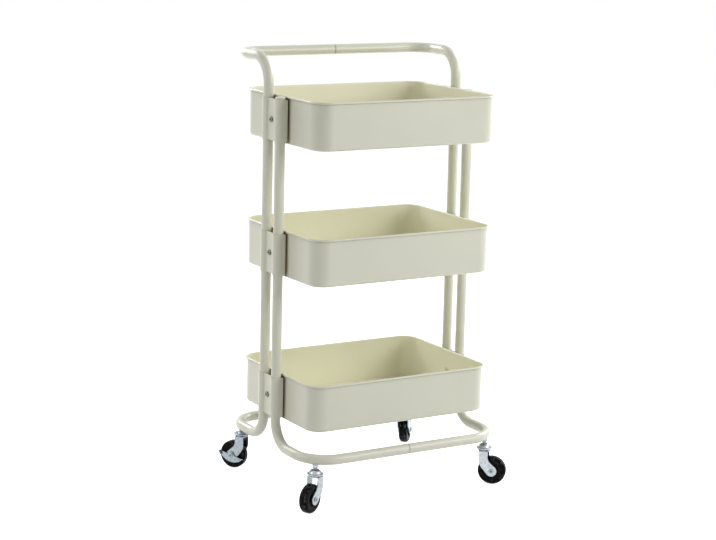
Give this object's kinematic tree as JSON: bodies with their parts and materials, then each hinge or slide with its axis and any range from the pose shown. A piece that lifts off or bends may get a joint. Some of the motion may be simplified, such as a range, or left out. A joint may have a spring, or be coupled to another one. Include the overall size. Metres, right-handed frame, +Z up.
{
  "type": "utility cart",
  "caption": "Rolling utility cart with open painted metal trays stacked between bent tube end frames, a rear push handle and swivel casters, one of them with a rocker brake.",
  "frame": {"origin": "on the floor, under the middle of the cart", "axes": "+X along the long side, +Y towards the handle side, +Z up"},
  "size_m": [0.4732, 0.3807, 0.866],
  "materials": {
    "cream_paint": "satin powder coat",
    "cream_plastic": "smooth",
    "zinc_steel": "bright zinc plate",
    "screw_steel": "bright plate",
    "black_plastic": "moulded",
    "black_rubber": "satin"
  },
  "bodies": {
    "frame": {"tray_top": "cream_paint", "clamp_top_left": "cream_paint", "clamp_top_right": "cream_paint", "tray_middle": "cream_paint", "clamp_middle_left": "cream_paint", "clamp_middle_right": "cream_paint", "tray_bottom": "cream_paint", "clamp_bottom_left": "cream_paint", "clamp_bottom_right": "cream_paint", "clamp_screws": "screw_steel", "clamp_nuts": "cream_paint", "upper_front_tube_left": "cream_paint", "upper_rear_tube_left": "cream_paint", "lower_front_tube_left": "cream_paint", "lower_rear_tube_left": "cream_paint", "tube_plug_left": "cream_plastic", "upper_front_tube_right": "cream_paint", "upper_rear_tube_right": "cream_paint", "lower_front_tube_right": "cream_paint", "lower_rear_tube_right": "cream_paint", "tube_plug_right": "cream_plastic", "upright_sleeves": "zinc_steel", "handle_sleeve": "zinc_steel", "front_base_sleeve": "zinc_steel", "rear_base_sleeve": "zinc_steel", "stem_inserts": "zinc_steel", "stem_front_left": "zinc_steel", "hat_front_left": "zinc_steel", "stem_front_right": "zinc_steel", "hat_front_right": "zinc_steel", "stem_rear_left": "zinc_steel", "hat_rear_left": "zinc_steel", "stem_rear_right": "zinc_steel", "hat_rear_right": "zinc_steel"},
    "caster_front_left": {"fork_front_left": "zinc_steel", "bearing_front_left": "black_plastic", "axle_front_left": "zinc_steel"},
    "wheel_front_left": {"wheel_core_front_left": "black_plastic", "tyre_front_left": "black_rubber"},
    "caster_front_right": {"fork_front_right": "zinc_steel", "bearing_front_right": "black_plastic", "axle_front_right": "zinc_steel"},
    "wheel_front_right": {"wheel_core_front_right": "black_plastic", "tyre_front_right": "black_rubber"},
    "caster_rear_left": {"fork_rear_left": "zinc_steel", "bearing_rear_left": "black_plastic", "axle_rear_left": "zinc_steel"},
    "wheel_rear_left": {"wheel_core_rear_left": "black_plastic", "tyre_rear_left": "black_rubber"},
    "brake_rear_left": {"brake_rocker_rear_left": "zinc_steel"},
    "caster_rear_right": {"fork_rear_right": "zinc_steel", "bearing_rear_right": "black_plastic", "axle_rear_right": "zinc_steel"},
    "wheel_rear_right": {"wheel_core_rear_right": "black_plastic", "tyre_rear_right": "black_rubber"}
  },
  "joints": [
    {"name": "swivel_front_left", "type": "hinge", "parent": "frame", "child": "caster_front_left", "pos_m": [-0.19685, -0.15255, 0.07], "axis": [0, 0, 1], "continuous": true},
    {"name": "roll_front_left", "type": "hinge", "parent": "caster_front_left", "child": "wheel_front_left", "pos_m": [-0.21186, -0.16053, 0.0285], "axis": [0.4695, -0.8829, 0], "continuous": true},
    {"name": "swivel_front_right", "type": "hinge", "parent": "frame", "child": "caster_front_right", "pos_m": [0.19685, -0.15255, 0.07], "axis": [0, 0, 1], "continuous": true},
    {"name": "roll_front_right", "type": "hinge", "parent": "caster_front_right", "child": "wheel_front_right", "pos_m": [0.20928, -0.16414, 0.0285], "axis": [0.682, 0.7314, 0], "continuous": true},
    {"name": "swivel_rear_left", "type": "hinge", "parent": "frame", "child": "caster_rear_left", "pos_m": [-0.19685, 0.15255, 0.07], "axis": [0, 0, 1], "continuous": true},
    {"name": "roll_rear_left", "type": "hinge", "parent": "caster_rear_left", "child": "wheel_rear_left", "pos_m": [-0.2066, 0.16647, 0.0285], "axis": [-0.8192, -0.5736, 0], "continuous": true},
    {"name": "brake_press_rear_left", "type": "hinge", "parent": "caster_rear_left", "child": "brake_rear_left", "pos_m": [-0.2066, 0.16647, 0.0285], "axis": [-0.8192, -0.5736, 0], "range_deg": [0, 30]},
    {"name": "swivel_rear_right", "type": "hinge", "parent": "frame", "child": "caster_rear_right", "pos_m": [0.19685, 0.15255, 0.07], "axis": [0, 0, 1], "continuous": true},
    {"name": "roll_rear_right", "type": "hinge", "parent": "caster_rear_right", "child": "wheel_rear_right", "pos_m": [0.20887, 0.16457, 0.0285], "axis": [-0.7071, 0.7071, 0], "continuous": true}
  ]
}
